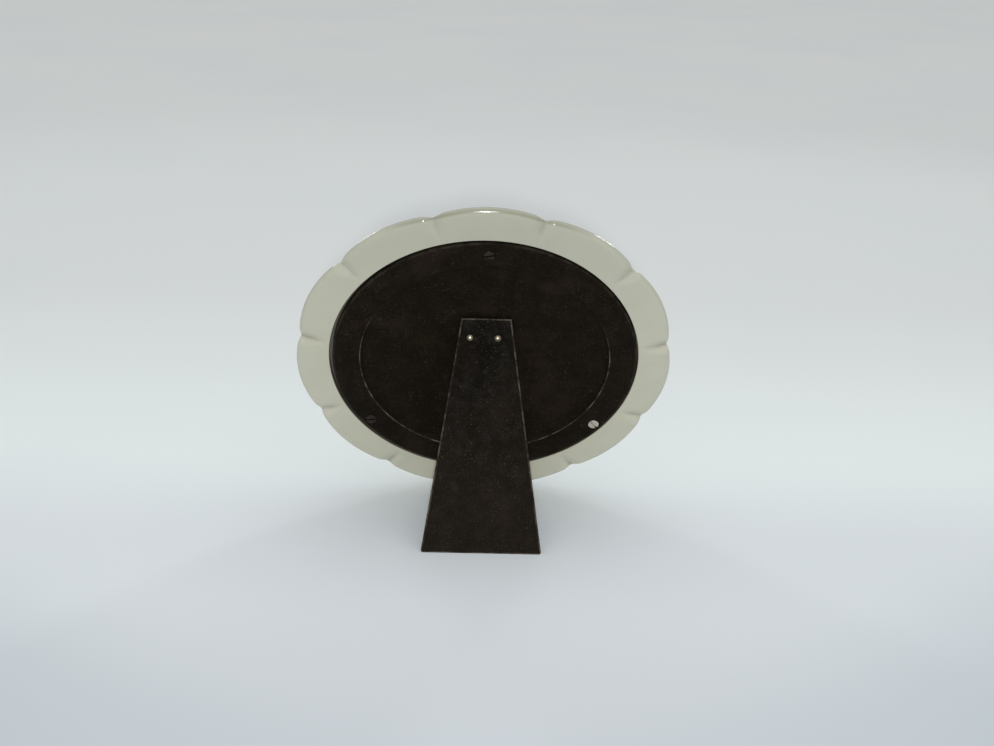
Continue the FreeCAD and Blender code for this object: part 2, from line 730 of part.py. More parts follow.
os.makedirs("parts", exist_ok=True)
for node in nodes:
    node.Shape.exportStep(f"parts/{node.Label}.step")
    box = node.Shape.BoundBox
    print(f"{node.Label}: {len(node.Shape.Solids)} solid(s), {node.Shape.Volume:.1f} mm3, "
          f"X {box.XMin:.2f}..{box.XMax:.2f} Y {box.YMin:.2f}..{box.YMax:.2f} Z {box.ZMin:.2f}..{box.ZMax:.2f}")
print("pin at", dims["pin_y"], dims["pin_z"], "folds through", dims["fold_angle"])
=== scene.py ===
# The looks of a round scalloped picture frame, standing on its strut and seen from behind.
import json
import math

import bmesh
import bpy
from mathutils import Matrix, Vector


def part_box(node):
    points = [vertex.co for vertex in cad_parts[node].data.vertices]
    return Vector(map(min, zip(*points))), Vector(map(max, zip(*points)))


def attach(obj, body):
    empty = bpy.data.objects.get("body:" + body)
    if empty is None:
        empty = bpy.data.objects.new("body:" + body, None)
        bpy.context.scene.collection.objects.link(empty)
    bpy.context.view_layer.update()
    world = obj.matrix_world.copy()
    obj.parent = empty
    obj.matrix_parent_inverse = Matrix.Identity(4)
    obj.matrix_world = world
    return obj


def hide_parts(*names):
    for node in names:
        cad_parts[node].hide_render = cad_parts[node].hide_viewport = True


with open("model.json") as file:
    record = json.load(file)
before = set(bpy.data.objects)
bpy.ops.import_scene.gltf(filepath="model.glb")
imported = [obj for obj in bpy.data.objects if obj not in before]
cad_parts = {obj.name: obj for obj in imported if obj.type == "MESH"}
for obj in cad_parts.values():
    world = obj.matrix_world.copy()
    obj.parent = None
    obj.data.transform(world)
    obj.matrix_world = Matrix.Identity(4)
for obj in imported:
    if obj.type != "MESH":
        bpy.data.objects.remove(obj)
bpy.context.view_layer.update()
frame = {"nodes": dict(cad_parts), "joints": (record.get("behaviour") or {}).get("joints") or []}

# Shapes are drawn in millimetres about each piece's own centre, and then placed in metres
MM = 0.001
LEAN = math.radians(24.1)
STRUT_LEAN = math.radians(16.3)

# Rim, in millimetres: X across, Y out of its back, Z up its face, and Y = 0 on its back face
LOBES = 11
HALF_LOBE = math.pi / LOBES
LOBE_CENTRE = 30.0
LOBE_RADIUS = 59.99
RIM_DEPTH = 13.48
EDGE_ROUND = 2.4
CROWN_INSET = 24.0
CROWN_RADIUS = 63.0
FACE_ROUND = 33.564
FACE_TURN = math.radians(43.88)
SIGHT_RADIUS = 59.5
GLASS_BAY_RADIUS = 63.4
PLATE_BAY_RADIUS = 73.7
GLASS_LEDGE = 8.0
PLATE_SEAT = 3.0
BAY_EDGE_ROUND = 0.35
GLASS_HALF_THICKNESS = 1.0
GLASS_MIDDLE_DEPTH = GLASS_LEDGE - GLASS_HALF_THICKNESS

# Back plate and strut, in millimetres
PLATE_RADIUS = 72.9
PLATE_SHIFT = 0.5
PLATE_DROP = 0.5
RECESS_RADIUS = 59.8
RECESS_DEPTH = 1.4
PIN_HEIGHT = 1.45
HINGE_SHIFT = 1.0
STRUT_INNER = 0.15
STRUT_OUTER = 2.52
STRUT_TOP_WIDTH = 23.3
STRUT_FOOT_WIDTH = 56.8
STRUT_HEEL = 2.336
STRUT_BEVEL = 0.6

# Places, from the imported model
glass_low, glass_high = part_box("glass_pane")
back_normal = Matrix.Rotation(-LEAN, 3, "X") @ Vector((0, 1, 0))
rim_centre = (glass_low + glass_high) / 2 + back_normal * GLASS_MIDDLE_DEPTH * MM
pin = Vector(frame["joints"][0]["pos_m"])
AT_RIM = Matrix.Translation(rim_centre) @ Matrix.Rotation(-LEAN, 4, "X") @ Matrix.Scale(MM, 4)
AT_PLATE = AT_RIM @ Matrix.Translation((-PLATE_SHIFT, 0, -PLATE_DROP))
AT_PIN = Matrix.Translation(pin) @ Matrix.Rotation(STRUT_LEAN, 4, "X") @ Matrix.Scale(MM, 4)
AT_STRUT = AT_PIN @ Matrix.Translation((-HINGE_SHIFT, 0, 0))


# Small helpers
def srgb(red, green, blue):
    """A colour as a picture shows it (0 to 255), in linear light."""
    def linear(value):
        value /= 255
        return value / 12.92 if value <= 0.04045 else ((value + 0.055) / 1.055) ** 2.4
    return (linear(red), linear(green), linear(blue), 1.0)


def smooth_step(low, high, value):
    """0 up to low, 1 from high on, and an even S between them."""
    share = min(max((value - low) / (high - low), 0.0), 1.0)
    return share * share * (3 - 2 * share)


def shape(name, points, faces, marks=None, sharp=35):
    """A mesh object, drawn in its own frame until dress() places it."""
    mesh = bpy.data.meshes.new(name)
    mesh.from_pydata(points, [], faces)
    mesh.validate()
    for mark, values in (marks or {}).items():
        layer = mesh.attributes.new(mark, "FLOAT", "POINT")
        layer.data.foreach_set("value", values)
    body = bmesh.new()
    body.from_mesh(mesh)
    bmesh.ops.recalc_face_normals(body, faces=body.faces)
    body.to_mesh(mesh)
    body.free()
    mesh.polygons.foreach_set("use_smooth", [True] * len(mesh.polygons))
    mesh.set_sharp_from_angle(angle=math.radians(sharp))
    piece = bpy.data.objects.new(name, mesh)
    bpy.context.scene.collection.objects.link(piece)
    return piece


def lathe(name, profile, turns=64, marks=None, middle=(0.0, 0.0)):
    """A solid of revolution about local Y, past a middle (x, z). The profile runs (depth, radius)
    from axis to axis. A mark is found from the profile's row and the angle from the top."""
    points = []
    rings = []
    values = []
    for number, (depth, radius) in enumerate(profile):
        count = 1 if radius == 0 else turns
        rings.append(list(range(len(points), len(points) + count)))
        for step in range(count):
            angle = 2 * math.pi * step / turns
            across = radius * math.sin(angle)
            up = radius * math.cos(angle)
            points.append((middle[0] + across, depth, middle[1] + up))
            values.append(marks(number, angle) if marks else 0.0)
    faces = []
    for near, far in zip(rings, rings[1:]):
        for step in range(turns):
            after = (step + 1) % turns
            if len(near) == 1:
                faces.append((near[0], far[step], far[after]))
            elif len(far) == 1:
                faces.append((near[step], far[0], near[after]))
            else:
                faces.append((near[step], far[step], far[after], near[after]))
    return shape(name, points, faces, {"rub_and_highlight": values})


def arc(centre, radius, start, end, steps):
    """Points (depth, radius) along an arc in the profile's plane, angles in degrees from +depth."""
    out = []
    for step in range(steps + 1):
        angle = math.radians(start + (end - start) * step / steps)
        out.append((centre[0] + radius * math.cos(angle), centre[1] + radius * math.sin(angle)))
    return out


def carve(piece, cutters, sharp=30):
    """Cut other shapes out of a piece and delete them."""
    for cutter in cutters:
        cut = piece.modifiers.new("cut", "BOOLEAN")
        cut.object = cutter
        cut.solver = "EXACT"
    bpy.context.view_layer.update()
    graph = bpy.context.evaluated_depsgraph_get()
    carved = bpy.data.meshes.new_from_object(piece.evaluated_get(graph))
    piece.modifiers.clear()
    piece.data = carved
    carved.polygons.foreach_set("use_smooth", [True] * len(carved.polygons))
    carved.set_sharp_from_angle(angle=math.radians(sharp))
    for cutter in cutters:
        bpy.data.objects.remove(cutter)
    return piece


def box_shape(name, low, high):
    """A box between two opposite corners."""
    across, deep, tall = zip(low, high)
    corners = [(x, y, z) for x in across for y in deep for z in tall]
    faces = [(0, 1, 3, 2), (4, 6, 7, 5), (0, 4, 5, 1), (2, 3, 7, 6), (0, 2, 6, 4), (1, 5, 7, 3)]
    return shape(name, corners, faces)


def dress(piece, place, body, material_slot, material, *nodes):
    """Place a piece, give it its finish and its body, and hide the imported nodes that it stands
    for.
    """
    piece.data.transform(place)
    piece.data.materials.clear()
    piece.data.materials.append(material)
    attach(piece, body)
    if nodes:
        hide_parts(*nodes)
    return piece


# Materials
class Finish:
    """A node material on one Principled shader, with noise-driven colour, roughness and relief."""

    def __init__(self, name, colour, roughness, metallic=0.0):
        self.material = bpy.data.materials.new(name)
        self.material.use_nodes = True
        self.tree = self.material.node_tree
        self.shader = self.tree.nodes["Principled BSDF"]
        self.shader.inputs["Base Color"].default_value = colour
        self.shader.inputs["Roughness"].default_value = roughness
        self.shader.inputs["Metallic"].default_value = metallic
        self.space = self.node("ShaderNodeTexCoord").outputs["Object"]

    def node(self, kind, **settings):
        made = self.tree.nodes.new(kind)
        for key, value in settings.items():
            setattr(made, key, value)
        return made

    def join(self, source, target):
        self.tree.links.new(source, target)

    def axis(self, letter):
        """A place on the surface along X, Y or Z, in metres."""
        split = self.node("ShaderNodeSeparateXYZ")
        self.join(self.space, split.inputs["Vector"])
        return split.outputs[letter]

    def stretched(self, scale):
        mapping = self.node("ShaderNodeMapping")
        mapping.inputs["Scale"].default_value = scale
        self.join(self.space, mapping.inputs["Vector"])
        return mapping.outputs["Vector"]

    def grain(self, scale, detail=4.0, roughness=0.55, space=None):
        """Noise between about 0.3 and 0.7, with features 1 / scale metres across."""
        made = self.node("ShaderNodeTexNoise")
        made.inputs["Scale"].default_value = scale
        made.inputs["Detail"].default_value = detail
        made.inputs["Roughness"].default_value = roughness
        self.join(space or self.space, made.inputs["Vector"])
        return made.outputs["Fac"]

    def cells(self, scale):
        """Distance from scattered points, about 1 / scale metres apart."""
        made = self.node("ShaderNodeTexVoronoi")
        made.inputs["Scale"].default_value = scale
        self.join(self.space, made.inputs["Vector"])
        return made.outputs["Distance"]

    def mark(self, name):
        """A value that the mesh holds at its points."""
        return self.node("ShaderNodeAttribute", attribute_name=name).outputs["Fac"]

    def ramp(self, value, low, high, start=0.0, end=1.0):
        """Soft change from start, where the value is low, to end, where it is high."""
        made = self.node("ShaderNodeMapRange", interpolation_type="SMOOTHSTEP")
        made.inputs["From Min"].default_value = low
        made.inputs["From Max"].default_value = high
        made.inputs["To Min"].default_value = start
        made.inputs["To Max"].default_value = end
        self.join(value, made.inputs["Value"])
        return made.outputs["Result"]

    def times(self, first, second):
        made = self.node("ShaderNodeMath", operation="MULTIPLY")
        for socket, value in zip(made.inputs, (first, second)):
            if isinstance(value, float):
                socket.default_value = value
            else:
                self.join(value, socket)
        return made.outputs["Value"]

    def tint(self, share, colour):
        """Lay a colour over the base colour, by a share that varies over the surface."""
        mix = self.node("ShaderNodeMix", data_type="RGBA")
        base = self.shader.inputs["Base Color"]
        if base.links:
            self.join(base.links[0].from_socket, mix.inputs["A"])
        else:
            mix.inputs["A"].default_value = base.default_value
        mix.inputs["B"].default_value = colour
        self.join(share, mix.inputs["Factor"])
        self.join(mix.outputs["Result"], base)

    def gloss(self, value):
        self.join(value, self.shader.inputs["Roughness"])

    def relief(self, height, depth):
        """Bump, with its full height given in metres."""
        bump = self.node("ShaderNodeBump")
        bump.inputs["Strength"].default_value = 1.0
        bump.inputs["Distance"].default_value = depth
        self.join(height, bump.inputs["Height"])
        normal = self.shader.inputs["Normal"]
        if normal.links:
            self.join(normal.links[0].from_socket, bump.inputs["Normal"])
        self.join(bump.outputs["Normal"], normal)


# Colours that the ivory and the dark board share out over their surface
IVORY = srgb(183, 182, 165)
IVORY_CLOUD = srgb(179, 178, 159)
IVORY_SMUDGE = srgb(160, 156, 136)
# Darker in patches along the creases; in the plate bay this darkening is painted shade
IVORY_DARKENING = srgb(140, 136, 118)
# Painted shade: the ivory darkened over the top of the rim
IVORY_TOP_SHADE = srgb(160, 161, 145)
# Painted shade: a dark line along the rim's top edge
IVORY_EDGE_SHADE = srgb(138, 137, 120)
# Painted shade in the gap round the back plate
BAY_SHADE = srgb(62, 56, 50)
PIT_DIRT = srgb(120, 112, 96)
BOARD_RED = srgb(40, 30, 24)
BOARD_FLECK = srgb(62, 54, 44)
BOARD_SPECK = srgb(150, 140, 124)
# Lighter board where marked: partly rub, partly painted highlight
BOARD_RUB_AND_HIGHLIGHT = srgb(98, 90, 80)


def ivory_finish():
    """Smooth moulded ivory: faintly yellowed, darker in patches along the creases, with painted
    shade over the top, along the top edge and in the plate bay.
    """
    finish = Finish("ivory_moulding", IVORY, 0.2)
    finish.shader.inputs["Specular IOR Level"].default_value = 0.5
    finish.shader.inputs["Subsurface Weight"].default_value = 0.08
    finish.shader.inputs["Subsurface Radius"].default_value = (1.0, 0.8, 0.5)
    finish.shader.inputs["Subsurface Scale"].default_value = 0.002
    cloud = finish.grain(28.0, detail=3.0)
    finish.tint(finish.ramp(cloud, low=0.35, high=0.7, end=0.5), IVORY_CLOUD)
    smudge = finish.grain(120.0, roughness=0.6)
    finish.tint(finish.ramp(smudge, low=0.45, high=0.8, end=0.16), IVORY_SMUDGE)
    patchy = finish.ramp(smudge, low=0.3, high=0.65, start=0.25, end=0.8)
    # Darker in patches along the creases, and painted shade in the plate bay
    finish.tint(finish.times(finish.mark("darkening"), patchy), IVORY_DARKENING)
    # Painted shade: the ivory darker over the top of the rim
    finish.tint(finish.ramp(finish.axis("Z"), low=0.09, high=0.16, end=0.5), IVORY_TOP_SHADE)
    # Painted shade: a dark line along the nose of the top edge
    finish.tint(finish.times(finish.mark("painted_edge_shade"), 0.8), IVORY_EDGE_SHADE)
    # Painted shade: the bay wall round the plate darkened
    finish.tint(finish.times(finish.mark("painted_bay_shade"), 0.85), BAY_SHADE)
    pits = finish.cells(900.0)
    finish.tint(finish.ramp(pits, low=0.035, high=0.06, start=0.45, end=0.0), PIT_DIRT)
    finish.gloss(finish.ramp(finish.grain(60.0, detail=5.0), low=0.3, high=0.7, start=0.1, end=0.18))
    finish.relief(finish.grain(420.0, detail=2.0), depth=0.00004)
    finish.relief(finish.grain(55.0, detail=1.0), depth=0.00015)
    return finish.material


def dark_board(name, base, light, dust, grain_depth, roughness, red_share, lighter_low=0.0):
    """Very dark brown moulded board: mottled, finely grained and dusty, lighter where marked (partly
    rub, partly painted highlight on lit edges), and, if asked, lighter towards its foot.
    """
    finish = Finish(name, base, roughness)
    finish.shader.inputs["Specular IOR Level"].default_value = 0.04
    mottle = finish.grain(95.0, detail=6.0, roughness=0.62)
    finish.tint(finish.ramp(mottle, low=0.42, high=0.68, end=0.75), light)
    red = finish.grain(52.0, detail=3.0)
    finish.tint(finish.ramp(red, low=0.5, high=0.72, end=red_share), BOARD_RED)
    smear = finish.grain(160.0, detail=5.0, roughness=0.7)
    finish.tint(finish.ramp(smear, low=0.55, high=0.8, end=0.3), dust)
    flecks = finish.grain(1900.0, detail=2.0, roughness=0.6)
    finish.tint(finish.ramp(flecks, low=0.58, high=0.72, end=0.5), BOARD_FLECK)
    dots = finish.ramp(finish.cells(900.0), low=0.08, high=0.14, start=1.0, end=0.0)
    patches = finish.ramp(finish.grain(150.0, detail=1.0), low=0.5, high=0.62)
    finish.tint(finish.times(finish.times(dots, patches), 0.4), BOARD_SPECK)
    lightening_noise = finish.grain(150.0, detail=5.0, roughness=0.7)
    rub_and_highlight_share = finish.ramp(lightening_noise, low=0.4, high=0.62, start=0.12)
    # Lighter where marked: partly rub, partly painted highlight on lit edges and the recess lip
    finish.tint(finish.times(finish.mark("rub_and_highlight"), rub_and_highlight_share), BOARD_RUB_AND_HIGHLIGHT)
    # Lighter towards the foot
    if lighter_low:
        finish.tint(finish.ramp(finish.axis("Z"), low=0.1, high=0.02, end=lighter_low), dust)
    sheen = finish.grain(210.0, detail=6.0, roughness=0.7)
    finish.gloss(finish.ramp(sheen, low=0.3, high=0.7, start=roughness - 0.1, end=roughness + 0.16))
    finish.relief(finish.grain(1500.0, detail=3.0, roughness=0.7), depth=grain_depth)
    finish.relief(finish.grain(130.0, detail=3.0), depth=0.00012)
    return finish.material


def metal(name, colour, stain, roughness, stain_share):
    """Worn metal with darker staining and a fine grain."""
    finish = Finish(name, colour, roughness, 1.0)
    blotch = finish.grain(700.0, detail=5.0, roughness=0.65)
    finish.tint(finish.ramp(blotch, low=0.42, high=0.7, end=stain_share), stain)
    sheen = finish.grain(1100.0)
    finish.gloss(finish.ramp(sheen, low=0.3, high=0.7, start=roughness - 0.08, end=roughness + 0.14))
    finish.relief(finish.grain(2600.0, detail=2.0), depth=0.00002)
    return finish.material


def card(name, colour, fibre):
    """Plain card, with soft fibres that run upwards."""
    finish = Finish(name, colour, 0.85)
    along = finish.stretched((1.0, 1.0, 0.35))
    fibres = finish.grain(900.0, detail=6.0, roughness=0.7, space=along)
    finish.tint(finish.ramp(fibres, low=0.35, high=0.7, end=0.5), fibre)
    finish.tint(finish.ramp(finish.grain(25.0, detail=3.0), low=0.4, high=0.75, end=0.3), fibre)
    finish.relief(fibres, depth=0.00005)
    return finish.material


def clear_glass():
    """Picture glass, with the faint haze of handling."""
    finish = Finish("picture_glass", (0.97, 0.99, 0.98, 1.0), 0.02)
    finish.shader.inputs["Transmission Weight"].default_value = 1.0
    finish.shader.inputs["Alpha"].default_value = 0.12
    finish.shader.inputs["IOR"].default_value = 1.5
    haze = finish.grain(30.0, roughness=0.6)
    finish.gloss(finish.ramp(haze, low=0.45, high=0.8, start=0.01, end=0.06))
    return finish.material


ivory = ivory_finish()
plate_board = dark_board("plate_board", srgb(18, 14, 8), srgb(26, 21, 13), srgb(48, 41, 32),
                         grain_depth=0.00004, roughness=0.5, red_share=0.42)
strut_board = dark_board("strut_board", srgb(5, 3, 0), srgb(13, 8, 4), srgb(48, 40, 32),
                         grain_depth=0.00009, roughness=0.55, red_share=0.2, lighter_low=0.2)
bright_steel = metal("bright_steel", srgb(214, 205, 192), srgb(150, 140, 126), 0.38, 0.5)
dull_steel = metal("dull_steel", srgb(66, 59, 54), srgb(30, 26, 22), 0.4, 1.0)
hinge_steel = metal("hinge_steel", srgb(118, 112, 104), srgb(70, 60, 50), 0.4, 0.6)
rivet_metal = metal("rivet_metal", srgb(124, 117, 98), srgb(66, 59, 46), 0.3, 0.7)


# Rim
def from_lobe_middle(angle):
    """Angle from the middle of the lobe that a direction falls in."""
    return abs((angle + HALF_LOBE) % (2 * HALF_LOBE) - HALF_LOBE)


def lobe_reach(angle, inset):
    """How far a lobe's curve, drawn a little inside its outline, lies from the rim's centre."""
    off = from_lobe_middle(angle)
    radius = LOBE_RADIUS - inset
    return LOBE_CENTRE * math.cos(off) + math.sqrt(radius ** 2 - (LOBE_CENTRE * math.sin(off)) ** 2)


def crease_distance(angle, reach):
    """Arc distance to the nearest crease between two lobes."""
    return (HALF_LOBE - from_lobe_middle(angle)) * reach


# A crease's valley, in shares of its width: rounded foot, rounded shoulders, and where it ends
VALLEY_FOOT = 0.12
VALLEY_SHOULDER = 0.05
VALLEY_END = (0.9, 1.9)


def valley(distance, width):
    """A soft V, 1 at the crease, with straight flanks that fade out at about a width."""
    share = distance / width
    flank = 1 - (math.sqrt(share ** 2 + VALLEY_FOOT ** 2) - VALLEY_FOOT)
    rounded = (flank + math.sqrt(flank ** 2 + VALLEY_SHOULDER)) / 2
    return rounded * (1 - smooth_step(*VALLEY_END, share))


# The back dishes down a little over this last part of its width, before the edge rounds over
BACK_DISH_WIDTH = 9.0
BACK_DISH_DEPTH = 0.75

# Creases on the back and on the front, and how they grow outwards from where they start
CREASE_START = 74.5
CREASE_DEPTH = 1.8
CREASE_WIDTH = 3.7
CREASE_DIP = 0.75
CREASE_FULL_BEFORE_EDGE = 1.0
CREASE_NARROWEST = 0.45
FRONT_CREASE_START = 69.0
FRONT_CREASE_DEPTH = 2.4
FRONT_CREASE_WIDTH = 5.0
FRONT_CREASE_GROWTH = 9.0
FRONT_CREASE_EASE = 0.35
FRONT_CREASE_EASE_START = 80.0
FRONT_FROM_NORMAL = (0.0, 0.7)
# Width of the darker band along each crease
DARKENING_WIDTH = 1.0

# Where painted shade darkens the edge: how its normal points outwards and backwards, and how near
# the top it is
EDGE_SHADE_OUTWARDS = (0.3, 0.7)
EDGE_SHADE_BACKWARDS = (0.0, 0.4)
EDGE_SHADE_FLAT_FROM = 0.95
EDGE_SHADE_NEAR_TOP = (0.84, 0.95)

# Steps of the rim's mesh along its section and round each lobe
BAND_STEPS = 16
EDGE_STEPS = 12
FACE_STEPS = 20
CROWN_STEPS = 2
WELL_STEPS = 10
BAY_EDGE_STEPS = 4
LOBE_STEPS = 56
LOBE_STEP_EASE = 1.7
RIM_SHARP = 50


def rim_stations():
    """The rim's section, from the plate bay's edge out over the back, round the front and back in.
    Each station: depth, lobe inset or None, ring radius or None, share of lobe, outward normal."""
    stations = []

    def add(depth, inset, ring, lobe_share, normal):
        stations.append((depth, inset, ring, lobe_share, normal))

    edge = PLATE_BAY_RADIUS + BAY_EDGE_ROUND
    for number in range(BAND_STEPS + 1):
        add(0, EDGE_ROUND, edge, number / BAND_STEPS, (1, 0))
    for number in range(1, EDGE_STEPS + 1):
        turn = (math.pi - FACE_TURN) * number / EDGE_STEPS
        depth = EDGE_ROUND * (math.cos(turn) - 1)
        inset = EDGE_ROUND * (1 - math.sin(turn))
        add(depth, inset, None, 1, (math.cos(turn), math.sin(turn)))
    for number in range(1, FACE_STEPS + 1):
        turn = FACE_TURN * (1 - number / FACE_STEPS)
        depth = -RIM_DEPTH + FACE_ROUND * (1 - math.cos(turn))
        inset = CROWN_INSET - FACE_ROUND * math.sin(turn)
        add(depth, inset, None, 1, (-math.cos(turn), math.sin(turn)))
    for number in range(1, CROWN_STEPS + 1):
        add(-RIM_DEPTH, CROWN_INSET, CROWN_RADIUS, 1 - number / CROWN_STEPS, (-1, 0))
    well_round = CROWN_RADIUS - SIGHT_RADIUS
    for number in range(1, WELL_STEPS + 1):
        turn = math.radians(90 * number / WELL_STEPS)
        depth = -RIM_DEPTH + well_round * (1 - math.cos(turn))
        ring = CROWN_RADIUS - well_round * math.sin(turn)
        add(depth, None, ring, 0, (-math.cos(turn), -math.sin(turn)))
    add(-GLASS_LEDGE, None, SIGHT_RADIUS, 0, (0, -1))
    add(-GLASS_LEDGE, None, GLASS_BAY_RADIUS, 0, (1, 0))
    add(-PLATE_SEAT, None, GLASS_BAY_RADIUS, 0, (0, -1))
    add(-PLATE_SEAT, None, PLATE_BAY_RADIUS, 0, (1, 0))
    for number in range(BAY_EDGE_STEPS):
        turn = math.radians(90 * number / BAY_EDGE_STEPS)
        depth = -BAY_EDGE_ROUND + BAY_EDGE_ROUND * math.sin(turn)
        add(depth, None, edge - BAY_EDGE_ROUND * math.cos(turn), 0, (0, -1))
    return stations


def crease_at(angle, reach, normal):
    """How far a point of the lobes sinks in depth and in reach beside a crease, and how much it is
    darkened there.
    """
    outer = lobe_reach(HALF_LOBE, 0)
    away = crease_distance(angle, reach)
    front = smooth_step(*FRONT_FROM_NORMAL, -normal[0])
    back = 1 - front
    back_fade = smooth_step(CREASE_START, outer - CREASE_FULL_BEFORE_EDGE, reach)
    front_fade = smooth_step(FRONT_CREASE_START, FRONT_CREASE_START + FRONT_CREASE_GROWTH, reach)
    front_fade *= 1 - FRONT_CREASE_EASE * smooth_step(FRONT_CREASE_EASE_START, outer, reach)
    fade = back_fade * back + front_fade * front
    deep = CREASE_DEPTH * back + FRONT_CREASE_DEPTH * front
    wide = CREASE_WIDTH * back + FRONT_CREASE_WIDTH * front
    fold = fade * valley(away, wide * (CREASE_NARROWEST + (1 - CREASE_NARROWEST) * fade))
    darkening = fade * math.exp(-(away / DARKENING_WIDTH) ** 2)
    return deep * fold * normal[0], CREASE_DIP * fold * normal[1], darkening


def edge_shade(angle, normal):
    """How strongly painted shade darkens the edge, above all along its top."""
    if normal[0] >= EDGE_SHADE_FLAT_FROM:
        return 0.0
    on_edge = smooth_step(*EDGE_SHADE_OUTWARDS, normal[1]) * smooth_step(*EDGE_SHADE_BACKWARDS, normal[0])
    return on_edge * smooth_step(*EDGE_SHADE_NEAR_TOP, math.cos(angle))


def rim_angles():
    """Angles round the rim, closer together beside each crease."""
    angles = []
    for lobe in range(LOBES):
        for step in range(LOBE_STEPS):
            share = 2 * step / LOBE_STEPS - 1
            eased = math.copysign(1 - (1 - abs(share)) ** LOBE_STEP_EASE, share)
            angles.append(2 * HALF_LOBE * lobe + HALF_LOBE * eased)
    return angles


def make_rim():
    stations = rim_stations()
    angles = rim_angles()
    points = []
    darkening = []
    painted_edge_shade = []
    painted_bay_shade = []
    for depth, inset, ring, lobe_share, normal in stations:
        on_lobe = inset is not None
        in_bay = -PLATE_SEAT <= depth and not on_lobe
        for angle in angles:
            lobe = lobe_reach(angle, inset) if on_lobe else 0.0
            reach = lobe * lobe_share + (ring or 0.0) * (1 - lobe_share)
            at = depth
            # Rows in the plate bay are darkened all over: painted shade
            darkened = float(in_bay)
            if on_lobe:
                sink, dip, darkened = crease_at(angle, reach, normal)
                dish = max(0.0, 1 - (lobe_reach(angle, 0) - reach) / BACK_DISH_WIDTH)
                at -= sink + BACK_DISH_DEPTH * dish * dish * max(normal[0], 0.0)
                reach -= dip
            points.append((reach * math.sin(angle), at, reach * math.cos(angle)))
            darkening.append(darkened)
            painted_bay_shade.append(float(in_bay))
            painted_edge_shade.append(edge_shade(angle, normal) if on_lobe else 0.0)
    around = len(angles)
    faces = []
    for row in range(len(stations)):
        below = (row + 1) % len(stations)
        for column in range(around):
            after = (column + 1) % around
            faces.append((row * around + column, below * around + column,
                          below * around + after, row * around + after))
    marks = {"darkening": darkening, "painted_edge_shade": painted_edge_shade, "painted_bay_shade": painted_bay_shade}
    rim = shape("rim_moulding", points, faces, marks, sharp=RIM_SHARP)
    return dress(rim, AT_RIM, "frame", "cream_rim", ivory, "frame_rim")


# Glass and bare card, drawn just clear of each other
PANE_RADIUS = 63.1
PANE_EDGE = 0.3
PANE_BACK = -6.0
PANE_INNER_RING = 40.0
CARD_RADIUS = 62.9
CARD_BACK = -5.6
CARD_FRONT = -5.94
CARD_RINGS = (0.25, 0.5, 0.75, 1.0)
SHEET_TURNS = 120


def make_pane():
    """The picture glass: a flat round pane with a fine bevel."""
    flat = PANE_RADIUS - PANE_EDGE
    profile = [(PANE_BACK, 0), (PANE_BACK, PANE_INNER_RING), (PANE_BACK, flat)]
    profile += [(PANE_BACK - PANE_EDGE, PANE_RADIUS), (PANE_EDGE - GLASS_LEDGE, PANE_RADIUS)]
    profile += [(-GLASS_LEDGE, flat), (-GLASS_LEDGE, PANE_INNER_RING), (-GLASS_LEDGE, 0)]
    pane = lathe("picture_pane", profile, turns=SHEET_TURNS)
    return dress(pane, AT_RIM, "frame", "glass", clear_glass(), "glass_pane")


def make_card():
    """The bare card behind the glass."""
    rings = [CARD_RADIUS * share for share in CARD_RINGS]
    profile = [(CARD_BACK, 0)] + [(CARD_BACK, ring) for ring in rings]
    profile += [(CARD_FRONT, ring) for ring in reversed(rings)] + [(CARD_FRONT, 0)]
    sheet = lathe("bare_card", profile, turns=SHEET_TURNS)
    pale = card("picture_card", srgb(226, 221, 208), srgb(206, 200, 184))
    return dress(sheet, AT_RIM, "frame", "picture_card", pale, "picture_card")


# Back plate: rings of its recess floor, and the softened foot and lip of the recess as
# offsets in depth and radius
PLATE_EDGE_ROUND = 0.5
RECESS_LIP_ROUND = 0.35
FLOOR_RINGS = (0.2, 0.4, 0.6, 0.8, 0.95)
FOOT_WIDTH = 0.3
RECESS_FOOT = ((0.06, -0.08), (0.2, 0.12))
SLOPE_TOP = (-0.3, -0.3)
RECESS_LIP = ((-0.1, -0.08), (-0.02, 0.12))
BORDER_INNER_RING = 0.6
BORDER_OUTER_RINGS = (4.0, 1.4)
PLATE_TURNS = 360

# How much lighter the parts of the plate are painted: at the top, and at the sides and below, with
# the angles from the top between which the one turns into the other. The recess lip's strong share
# below is painted highlight.
UNRUBBED = (0.0, 0.0)
RUBBED_SLOPE = (0.06, 0.0)
LIP_HIGHLIGHT = (0.05, 1.0)
RUBBED_EDGE = (0.15, 0.15)
RUB_AND_HIGHLIGHT_TURNS = (1.05, 1.35)

# Screws: place across and up the plate, and the slot's turn in degrees
SCREW_PLACES = {
    "top": (0.0, 65.5, 12.0),
    "low": (55.519, -40.634, 8.0),
    "replacement": (-55.519, -40.634, -52.0),
}
SCREW_HEAD_RADIUS = 2.65
SCREW_SINK_GAP = 0.3
SCREW_SHANK_RADIUS = 1.4
SCREW_LENGTH = 10.0
SCREW_HEAD_DEPTH = 1.3
SCREW_LAND = 0.15
SCREW_TIP = 1.6
SCREW_FACE_RING = 1.2
SCREW_EDGE_ROUND = 0.14
SCREW_LAND_TAPER = 0.08
SLOT_WIDTH = 0.8
SLOT_DEPTH = 0.7

# How far a cutting shape stands out past the piece that it cuts
CLEAR = 1.0


